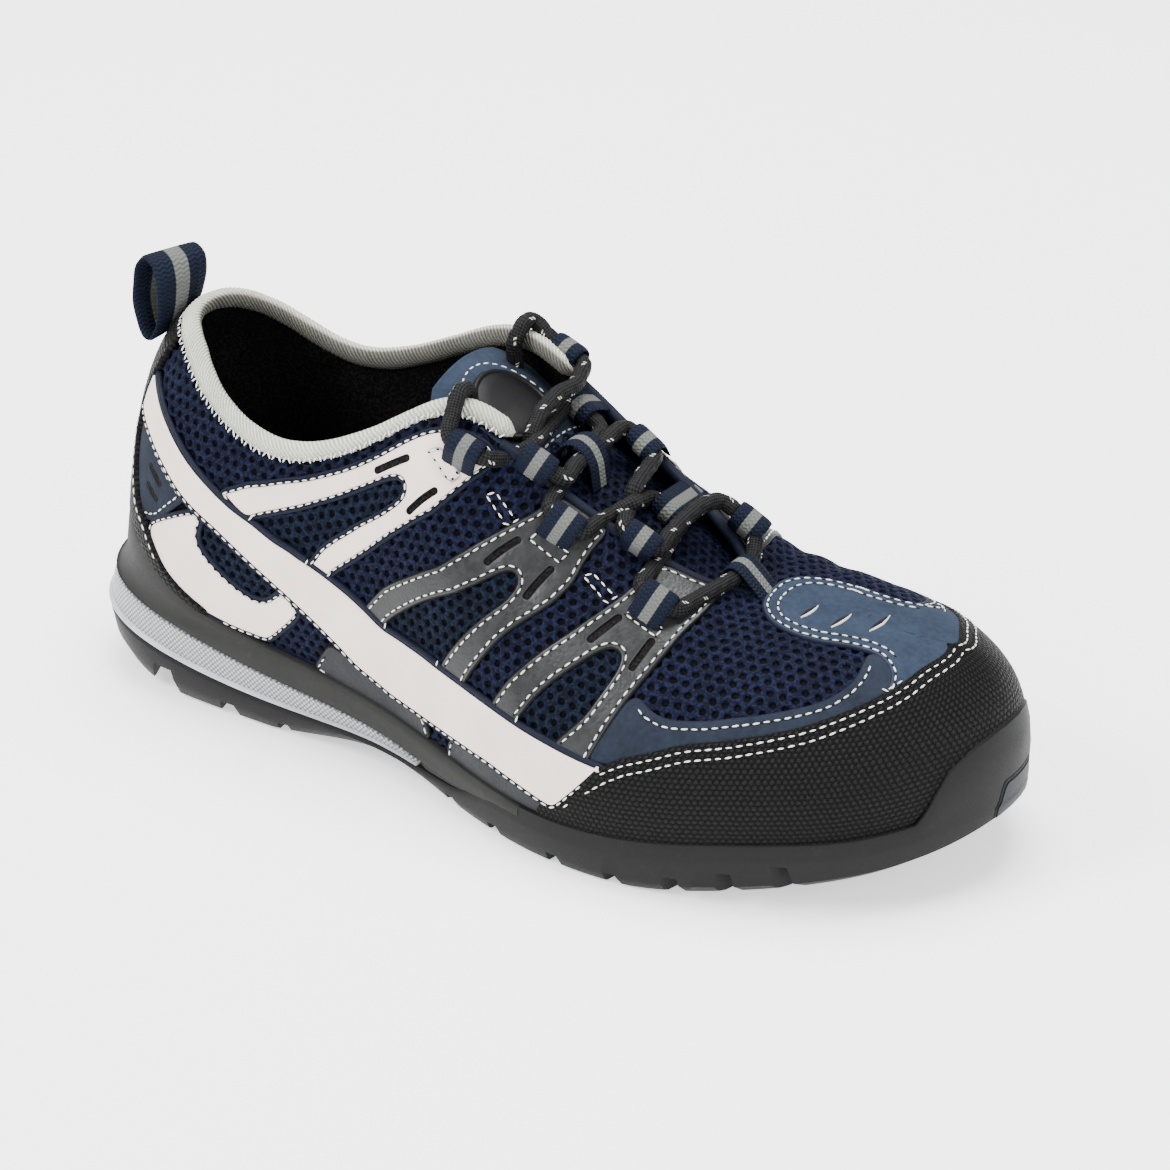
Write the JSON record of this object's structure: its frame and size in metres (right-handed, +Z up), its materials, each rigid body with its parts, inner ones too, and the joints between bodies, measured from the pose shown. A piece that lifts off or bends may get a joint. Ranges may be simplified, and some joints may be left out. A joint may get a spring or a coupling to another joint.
{
  "type": "safety shoe",
  "caption": "Low-cut lace-up safety shoe for the right foot: hollow mesh upper with leather overlays, black toe guard, padded tongue, lugged rubber sole.",
  "frame": {"origin": "centre of the bounding box in plan, on the floor under the sole", "axes": "+X from heel to toe, +Z up, -Y to the outer side of the foot"},
  "size_m": [0.2878, 0.1124, 0.1238],
  "materials": {
    "mesh_navy": "navy air mesh with rows of small round holes",
    "nubuck_blue": "slate blue nubuck, matte",
    "leather_beige": "warm light grey smooth leather, satin",
    "synthetic_grey": "dark grey synthetic leather, satin",
    "guard_black": "black coated weave, matte",
    "rubber_black": "black moulded rubber",
    "foam_grey": "dark grey moulded foam",
    "wedge_silver": "silver grey moulding with fine ribs",
    "binding_cream": "cream ribbed knit",
    "webbing_navy": "navy webbing with a light stripe",
    "cord_black": "black braided cord with white flecks",
    "lining_black": "black brushed lining"
  },
  "bodies": {
    "root": {"backstay": "guard_black", "collar_binding": "binding_cream", "eyestay_inner": "leather_beige", "eyestay_outer": "leather_beige", "fork_front_inner": "synthetic_grey", "fork_front_outer": "synthetic_grey", "fork_rear_inner": "synthetic_grey", "fork_rear_outer": "synthetic_grey", "heel_panel_inner": "leather_beige", "heel_panel_outer": "leather_beige", "heel_patch_inner": "nubuck_blue", "heel_patch_outer": "nubuck_blue", "heel_wedge": "wedge_silver", "insole": "lining_black", "lace": "cord_black", "lace_loop_inner_1": "webbing_navy", "lace_loop_inner_2": "webbing_navy", "lace_loop_inner_3": "webbing_navy", "lace_loop_inner_4": "webbing_navy", "lace_loop_inner_5": "webbing_navy", "lace_loop_outer_1": "webbing_navy", "lace_loop_outer_2": "webbing_navy", "lace_loop_outer_3": "webbing_navy", "lace_loop_outer_4": "webbing_navy", "lace_loop_outer_5": "webbing_navy", "lace_loop_toe": "webbing_navy", "midsole": "foam_grey", "mudguard_inner": "nubuck_blue", "mudguard_outer": "nubuck_blue", "outsole": "rubber_black", "pull_loop": "webbing_navy", "side_strap_inner": "leather_beige", "side_strap_outer": "leather_beige", "sill_panel_inner": "synthetic_grey", "sill_panel_outer": "synthetic_grey", "toe_guard": "guard_black", "tongue": "mesh_navy", "upper": "mesh_navy", "vamp_strip": "nubuck_blue"}
  },
  "joints": []
}
